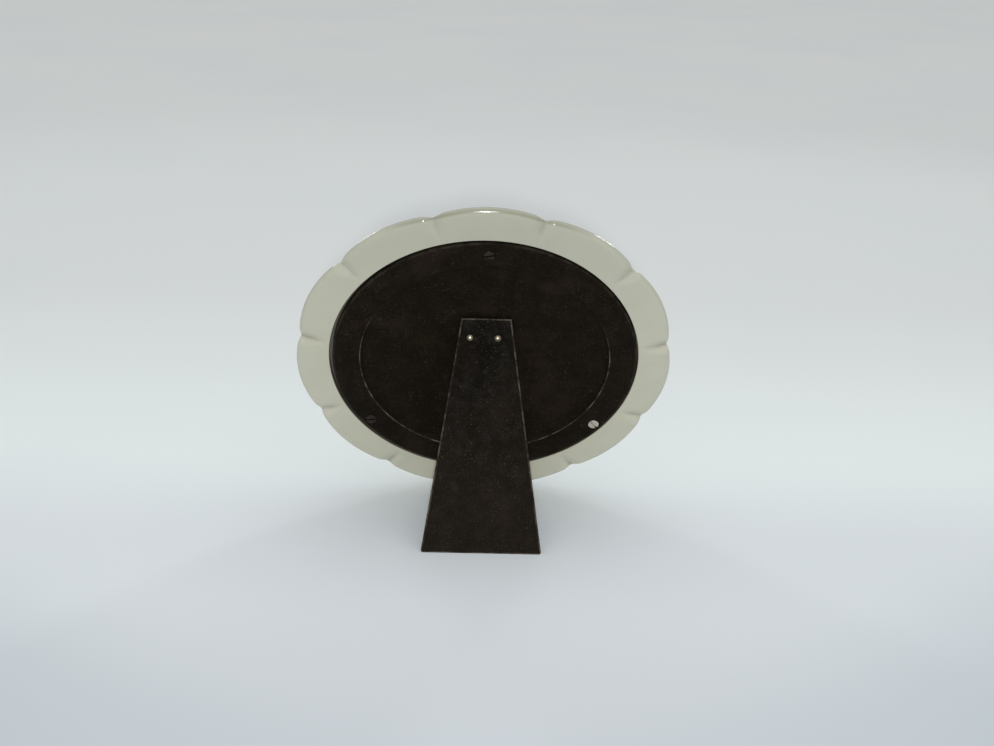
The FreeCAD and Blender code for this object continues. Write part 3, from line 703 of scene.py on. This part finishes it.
def plate_section():
    """Places (depth, radius) from the recess floor's middle to the plate's edge and underside,
    each with how much lighter it is painted (painted highlight on the lower part of the recess lip)."""
    section = []

    def add(lightening, *places):
        section.extend((place, lightening) for place in places)

    floor_edge = RECESS_RADIUS - RECESS_DEPTH
    add(UNRUBBED, (-RECESS_DEPTH, 0))
    add(UNRUBBED, *[(-RECESS_DEPTH, floor_edge * share) for share in FLOOR_RINGS])
    add(UNRUBBED, (-RECESS_DEPTH, floor_edge - FOOT_WIDTH))
    add(RUBBED_SLOPE, *[(-RECESS_DEPTH + rise, floor_edge + out) for rise, out in RECESS_FOOT])
    add(RUBBED_SLOPE, (SLOPE_TOP[0], RECESS_RADIUS + SLOPE_TOP[1]))
    # Painted highlight on the lower part of the recess lip, where it faces up
    add(LIP_HIGHLIGHT, *[(depth, RECESS_RADIUS + out) for depth, out in RECESS_LIP])
    add(UNRUBBED, (0, RECESS_RADIUS + RECESS_LIP_ROUND), (0, RECESS_RADIUS + BORDER_INNER_RING))
    add(UNRUBBED, *[(0, PLATE_RADIUS - inset) for inset in BORDER_OUTER_RINGS])
    edge = (-PLATE_EDGE_ROUND, PLATE_RADIUS - PLATE_EDGE_ROUND)
    add(RUBBED_EDGE, *arc(edge, PLATE_EDGE_ROUND, 0, 90, 5))
    add(UNRUBBED, (-PLATE_SEAT, PLATE_RADIUS), (-PLATE_SEAT, 0))
    return section


def make_plate():
    section = plate_section()

    def rub_and_highlight(row, angle):
        at_top, below = section[row][1]
        return at_top + (below - at_top) * smooth_step(*RUB_AND_HIGHLIGHT_TURNS, math.pi - abs(math.pi - angle))

    profile = [place for place, _ in section]
    plate = lathe("plate_moulding", profile, turns=PLATE_TURNS, marks=rub_and_highlight)
    mouth = SCREW_HEAD_RADIUS + SCREW_SINK_GAP
    throat = SCREW_SHANK_RADIUS + SCREW_SINK_GAP
    under = -PLATE_SEAT - CLEAR
    cone = [(CLEAR, 0), (CLEAR, mouth), (0, mouth), (-SCREW_HEAD_DEPTH - SCREW_LAND, throat),
            (under, throat), (under, 0)]
    sinks = []
    for number, (across, up, _) in enumerate(SCREW_PLACES.values()):
        sinks.append(lathe(f"sink_{number}", cone, turns=40, middle=(across, up)))
    carve(plate, sinks)
    return dress(plate, AT_PLATE, "frame", "dark_plate", plate_board, "back_plate")


def make_screw(name, place_name, material, material_slot, node):
    """A slotted countersunk screw whose head has a softened edge."""
    across, up, turn = SCREW_PLACES[place_name]
    slot_turn = Matrix.Rotation(math.radians(turn), 4, "Y")
    place = AT_PLATE @ Matrix.Translation((across, 0, up)) @ slot_turn
    soft = SCREW_EDGE_ROUND
    profile = [(0, 0), (0, SCREW_FACE_RING), (0, SCREW_HEAD_RADIUS - soft)]
    profile += arc((-soft, SCREW_HEAD_RADIUS - soft), soft, 30, 90, 3)
    profile += [(-SCREW_LAND - soft, SCREW_HEAD_RADIUS - SCREW_LAND_TAPER)]
    profile += [(-SCREW_LAND - SCREW_HEAD_DEPTH, SCREW_SHANK_RADIUS)]
    profile += [(SCREW_TIP - SCREW_LENGTH, SCREW_SHANK_RADIUS), (-SCREW_LENGTH, 0)]
    screw = lathe(name, profile, turns=48)
    slot_end = SCREW_HEAD_RADIUS + CLEAR
    slot_low = (-slot_end, -SLOT_DEPTH, -SLOT_WIDTH / 2)
    slot_high = (slot_end, CLEAR, SLOT_WIDTH / 2)
    slot = box_shape("slot", slot_low, slot_high)
    carve(screw, [slot])
    return dress(screw, place, "frame", material_slot, material, node)


# Strut
STRUT_RIVET_RADIUS = 1.65
STRUT_RIVET_HEIGHT = 0.9
STRUT_RIVET_HALF_SPACING = 6.5
STRUT_RIVET_DROP = 6.7
RIVET_SHANK = 0.8
RIVET_TAIL_RADIUS = 1.3
RIVET_TAIL_HEIGHT = 0.35
LEAF_THICKNESS = 0.6
POCKET_HALF_WIDTH = 9.3
POCKET_DROP = 12.3
FOOT_ROUND = 1.1
FOOT_STEPS = 6
SIDE_STEPS = 24
BEVEL_STEPS = 4
# How much lighter the strut's bevel is painted: partly rub, partly painted highlight
BEVEL_RUB_AND_HIGHLIGHT = 0.7
FACE_RING = 0.2
RIVET_COLLAR = 0.08
RIVET_DOME_POWER = 0.9
RIVET_DOME_STEPS = 9
RIVET_TAIL_BEVEL = 0.1
RIVET_FOOT_BEVEL = 0.05


def strut_section():
    """Points (inset, depth) of the strut's cross edge: up its side, round a bevel to its face."""
    bevel = STRUT_BEVEL
    section = [(0.0, STRUT_INNER), (0.0, STRUT_OUTER - bevel)]
    for step in range(1, BEVEL_STEPS):
        angle = math.radians(90 * step / BEVEL_STEPS)
        depth = STRUT_OUTER - bevel + bevel * math.sin(angle)
        section.append((bevel * (1 - math.cos(angle)), depth))
    section.append((bevel, STRUT_OUTER))
    section.append((bevel + FACE_RING, STRUT_OUTER))
    return section


def strut_length(depth):
    """Distance from the pin down the strut to the table, at a depth through the strut."""
    return (pin.z / MM + depth * math.sin(STRUT_LEAN)) / math.cos(STRUT_LEAN)


def strut_outline(inset):
    """The board's outline, inset from its edge: two rounded foot corners and two square top ones."""
    foot = -strut_length(STRUT_OUTER)
    slope = (STRUT_FOOT_WIDTH - STRUT_TOP_WIDTH) / 2 / (STRUT_HEEL - foot)
    stretch = math.sqrt(1 + slope * slope)
    outline = []

    def edge_x(z):
        return STRUT_FOOT_WIDTH / 2 - slope * (z - foot) - inset * stretch

    radius = FOOT_ROUND - inset
    low = foot + inset
    turn = math.pi / 2 + math.atan(slope)
    corner_z = low + radius
    corner_x = edge_x(corner_z) - radius * stretch
    for step in range(FOOT_STEPS + 1):
        angle = -math.pi / 2 + turn * step / FOOT_STEPS
        outline.append((corner_x + radius * math.cos(angle), corner_z + radius * math.sin(angle)))
    top = STRUT_HEEL - inset
    side = outline[-1][1]
    for step in range(1, SIDE_STEPS + 1):
        height = side + (top - side) * step / SIDE_STEPS
        outline.append((edge_x(height), height))
    mirrored = [(-x, z) for x, z in reversed(outline)]
    return outline + mirrored


def make_strut():
    """The leg's board, lighter along its bevel (partly rub, partly painted highlight), with the
    pocket for its hinge leaf.
    """
    points = []
    rub_and_highlight = []
    rings = []
    for inset, depth in strut_section():
        ring = []
        for x, z in strut_outline(inset):
            ring.append(len(points))
            points.append((x, depth, max(z, -strut_length(depth))))
            rub_and_highlight.append(BEVEL_RUB_AND_HIGHLIGHT if 0 < inset <= STRUT_BEVEL else 0.0)
        rings.append(ring)
    faces = []
    count = len(rings[0])
    for near, far in zip(rings, rings[1:]):
        for step in range(count):
            after = (step + 1) % count
            faces.append((near[step], near[after], far[after], far[step]))
    faces.append(tuple(rings[0]))
    faces.append(tuple(rings[-1]))
    strut = shape("strut_board", points, faces, {"rub_and_highlight": rub_and_highlight})
    pocket_low = (HINGE_SHIFT - POCKET_HALF_WIDTH, STRUT_INNER - CLEAR, -POCKET_DROP)
    pocket_high = (HINGE_SHIFT + POCKET_HALF_WIDTH, PIN_HEIGHT, STRUT_HEEL + CLEAR)
    pocket = box_shape("pocket", pocket_low, pocket_high)
    carve(strut, [pocket])
    return dress(strut, AT_STRUT, "leg", "dark_strut", strut_board, "strut")


def make_strut_rivet(name, across):
    """A domed rivet head, flattened a little on top, with its shank and tail."""
    place = AT_PIN @ Matrix.Translation((across, 0, -STRUT_RIVET_DROP))
    leaf = PIN_HEIGHT - LEAF_THICKNESS
    tail = leaf - RIVET_TAIL_HEIGHT
    profile = [(tail, 0), (tail, RIVET_TAIL_RADIUS - RIVET_TAIL_BEVEL)]
    profile += [(tail + RIVET_TAIL_BEVEL, RIVET_TAIL_RADIUS), (leaf, RIVET_TAIL_RADIUS)]
    profile += [(leaf, RIVET_SHANK), (STRUT_OUTER, RIVET_SHANK)]
    profile += [(STRUT_OUTER, STRUT_RIVET_RADIUS - RIVET_FOOT_BEVEL)]
    dome = STRUT_RIVET_HEIGHT - RIVET_COLLAR
    for step in range(RIVET_DOME_STEPS):
        angle = math.radians(90 * step / RIVET_DOME_STEPS)
        height = STRUT_OUTER + RIVET_COLLAR + dome * math.sin(angle) ** RIVET_DOME_POWER
        profile.append((height, STRUT_RIVET_RADIUS * math.cos(angle)))
    profile.append((STRUT_OUTER + RIVET_COLLAR + dome, 0))
    rivet = lathe(name, profile, turns=40)
    return dress(rivet, place, "leg", "rivet", rivet_metal, "strut_rivets")


# Camera: where the photograph's camera stood, from a fit of the frame's outline
CAMERA_PLACE = (0.0108, 0.63037, 0.3007)
CAMERA_YAW = 0.0274
CAMERA_PITCH = 0.3435
CAMERA_ROLL = -0.0327
FOCAL_PIXELS = 1395.6
IMAGE_WIDTH = 994
SENSOR = 36.0
CLIP_NEAR = 0.01
CLIP_FAR = 60.0


def make_camera():
    """The fit's axes run right, towards the camera and up. In the row, right is -X."""
    roll = CAMERA_ROLL
    level = Vector((math.cos(CAMERA_YAW), math.sin(CAMERA_YAW), 0))
    away = Vector((math.sin(CAMERA_YAW), -math.cos(CAMERA_YAW), 0))
    upright = Vector((0, 0, 1))
    up = away * math.sin(CAMERA_PITCH) + upright * math.cos(CAMERA_PITCH)
    forward = away * math.cos(CAMERA_PITCH) - upright * math.sin(CAMERA_PITCH)
    right = level * math.cos(roll) - up * math.sin(roll)
    upward = level * math.sin(roll) + up * math.cos(roll)
    turned = [Vector((-axis.x, axis.y, axis.z)) for axis in (right, upward, -forward)]
    lens = bpy.data.cameras.new("camera")
    lens.sensor_width = SENSOR
    lens.lens = FOCAL_PIXELS / IMAGE_WIDTH * SENSOR
    lens.clip_start = CLIP_NEAR
    lens.clip_end = CLIP_FAR
    camera = bpy.data.objects.new("camera", lens)
    bpy.context.scene.collection.objects.link(camera)
    camera.matrix_world = Matrix.Translation(CAMERA_PLACE) @ Matrix(turned).transposed().to_4x4()
    bpy.context.scene.camera = camera


# Floor, world and lamps. The floor's tints lie over its base colour, each growing between two
# places along Y, with the photograph's camera on the +Y side.
FLOOR_COLOUR = srgb(218, 223, 226)
FLOOR_REACH = 9.0
FLOOR_SIDES = 96
# These tints paint a sweep's light and shade: lighter behind the frame and far off, darker towards
# and past the camera
FLOOR_TINTS = (
    (0.035, -0.08, srgb(229, 235, 234)),
    (-0.07, -0.4, srgb(219, 222, 221)),
    (-0.4, -2.0, srgb(229, 231, 229)),
    (0.08, 0.2, srgb(208, 213, 217)),
)
FLOOR_CLOUD = srgb(205, 212, 220)
FLOOR_NEAR_CORNER_SHADE = srgb(196, 204, 209)
FLOOR_PAST_CAMERA = srgb(212, 216, 217)
WORLD_LIGHT = (0.95, 0.98, 1.0, 1.0)
WORLD_BEHIND = 0.43
WORLD_BEFORE = 0.25
WORLD_ABOVE = 0.46
WORLD_TURN = (-0.6, 0.8)
BACKDROP = srgb(197, 200, 199)
LAMP_TARGET = (0.0, 0.0, 0.09)


def make_floor():
    """A pale floor whose tone shifts softly with distance: painted light and shade of a paper sweep,
    and painted shade near the corners by the camera.
    """
    finish = Finish("pale_floor", FLOOR_COLOUR, 0.9)
    finish.shader.inputs["Specular IOR Level"].default_value = 0.1
    along = finish.axis("Y")
    for near, far, colour in FLOOR_TINTS:
        finish.tint(finish.ramp(along, low=near, high=far), colour)
    finish.tint(finish.ramp(finish.grain(3.0, detail=2.0), low=0.4, high=0.7, end=0.12), FLOOR_CLOUD)
    spread = finish.node("ShaderNodeVectorMath", operation="LENGTH")
    finish.join(finish.space, spread.inputs[0])
    # Painted shade: darker near the camera and off to the sides
    outwards = finish.ramp(spread.outputs["Value"], low=0.16, high=0.3)
    forwards = finish.ramp(along, low=0.0, high=0.15)
    finish.tint(finish.times(outwards, forwards), FLOOR_NEAR_CORNER_SHADE)
    finish.tint(finish.ramp(along, low=0.4, high=0.9), FLOOR_PAST_CAMERA)
    points = [(0.0, 0.0, 0.0)]
    for step in range(FLOOR_SIDES):
        angle = 2 * math.pi * step / FLOOR_SIDES
        points.append((FLOOR_REACH * math.cos(angle), FLOOR_REACH * math.sin(angle), 0.0))
    faces = [(0, 1 + step, 1 + (step + 1) % FLOOR_SIDES) for step in range(FLOOR_SIDES)]
    floor = shape("floor", points, faces)
    floor.data.materials.append(finish.material)


def make_world():
    """Soft grey light all round, dimmer on the camera's side, and a plain pale background that is
    seen directly, in glossy surfaces and through glass."""
    world = bpy.data.worlds.new("studio")
    world.use_nodes = True
    bpy.context.scene.world = world
    tree = world.node_tree
    tree.nodes.clear()
    light = tree.nodes.new("ShaderNodeBackground")
    light.inputs["Color"].default_value = WORLD_LIGHT
    direction = tree.nodes.new("ShaderNodeTexCoord")
    split = tree.nodes.new("ShaderNodeSeparateXYZ")
    fade = tree.nodes.new("ShaderNodeMapRange")
    fade.inputs["From Min"].default_value = WORLD_TURN[0]
    fade.inputs["From Max"].default_value = WORLD_TURN[1]
    fade.inputs["To Min"].default_value = WORLD_BEHIND
    fade.inputs["To Max"].default_value = WORLD_BEFORE
    tree.links.new(direction.outputs["Generated"], split.inputs["Vector"])
    tree.links.new(split.outputs["Y"], fade.inputs["Value"])
    raised = tree.nodes.new("ShaderNodeMix")
    raised.inputs["B"].default_value = WORLD_ABOVE
    tree.links.new(split.outputs["Z"], raised.inputs["Factor"])
    tree.links.new(fade.outputs["Result"], raised.inputs["A"])
    tree.links.new(raised.outputs["Result"], light.inputs["Strength"])
    seen = tree.nodes.new("ShaderNodeBackground")
    seen.inputs["Color"].default_value = BACKDROP
    seen.inputs["Strength"].default_value = 1.0
    path = tree.nodes.new("ShaderNodeLightPath")
    shown = path.outputs["Is Camera Ray"]
    for ray in ("Is Glossy Ray", "Is Transmission Ray"):
        either = tree.nodes.new("ShaderNodeMath")
        either.operation = "MAXIMUM"
        tree.links.new(shown, either.inputs[0])
        tree.links.new(path.outputs[ray], either.inputs[1])
        shown = either.outputs["Value"]
    mix = tree.nodes.new("ShaderNodeMixShader")
    out = tree.nodes.new("ShaderNodeOutputWorld")
    tree.links.new(shown, mix.inputs["Fac"])
    tree.links.new(light.outputs["Background"], mix.inputs[1])
    tree.links.new(seen.outputs["Background"], mix.inputs[2])
    tree.links.new(mix.outputs["Shader"], out.inputs["Surface"])


def facing(way):
    """The turn of a lamp that shines along a direction."""
    return way.to_track_quat("-Z", "Y").to_euler()


def make_even_lamp(name, place, size, strength):
    """A round lamp whose light keeps its level with distance, as a far one's does."""
    lamp = bpy.data.lights.new(name, "AREA")
    lamp.shape = "DISK"
    lamp.size = size
    lamp.energy = 1.0
    lamp.use_nodes = True
    glow = lamp.node_tree.nodes["Emission"]
    level = lamp.node_tree.nodes.new("ShaderNodeLightFalloff")
    level.inputs["Strength"].default_value = strength
    lamp.node_tree.links.new(level.outputs["Constant"], glow.inputs["Strength"])
    holder = bpy.data.objects.new(name, lamp)
    bpy.context.scene.collection.objects.link(holder)
    holder.location = place
    holder.visible_camera = False
    holder.rotation_euler = facing(Vector(LAMP_TARGET) - Vector(place))


def make_sun(name, from_way, spread, power):
    """Light from a wide patch of sky, as even on the far floor as on the near."""
    sun = bpy.data.lights.new(name, "SUN")
    sun.energy = power
    sun.angle = math.radians(spread)
    holder = bpy.data.objects.new(name, sun)
    bpy.context.scene.collection.objects.link(holder)
    holder.rotation_euler = facing(-Vector(from_way))


make_rim()
make_pane()
make_card()
make_plate()
make_screw("screw_top", "top", dull_steel, "dark_screw", "plate_screws")
make_screw("screw_low", "low", dull_steel, "dark_screw", "plate_screws")
make_screw("screw_bright", "replacement", bright_steel, "bright_screw", "replacement_screw")
make_strut()
make_strut_rivet("strut_rivet_left", STRUT_RIVET_HALF_SPACING)
make_strut_rivet("strut_rivet_right", -STRUT_RIVET_HALF_SPACING)

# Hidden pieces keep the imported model's own meshes and get their finishes
carried = {
    "backing_card": card("backing_card", srgb(168, 152, 128), srgb(138, 122, 100)),
    "hinge_fixed_leaf": hinge_steel,
    "hinge_moving_leaf": hinge_steel,
    "hinge_pin": hinge_steel,
    "leaf_rivets": rivet_metal,
}
for node_name, material in carried.items():
    node = frame["nodes"][node_name]
    node.data.materials.clear()
    node.data.materials.append(material)

make_floor()
make_world()
make_even_lamp("lamp_left", (0.62, -0.95, 0.45), size=0.2, strength=0.9)
make_even_lamp("lamp_right", (-0.62, -0.95, 0.45), size=0.2, strength=1.2)
make_even_lamp("lamp_front", (0.012, 0.834, 0.337), size=0.03, strength=6.0)
make_sun("sky_light", (-0.1, 0.3, 1.0), spread=80, power=0.8)
make_camera()
bpy.context.scene.view_settings.view_transform = "Standard"
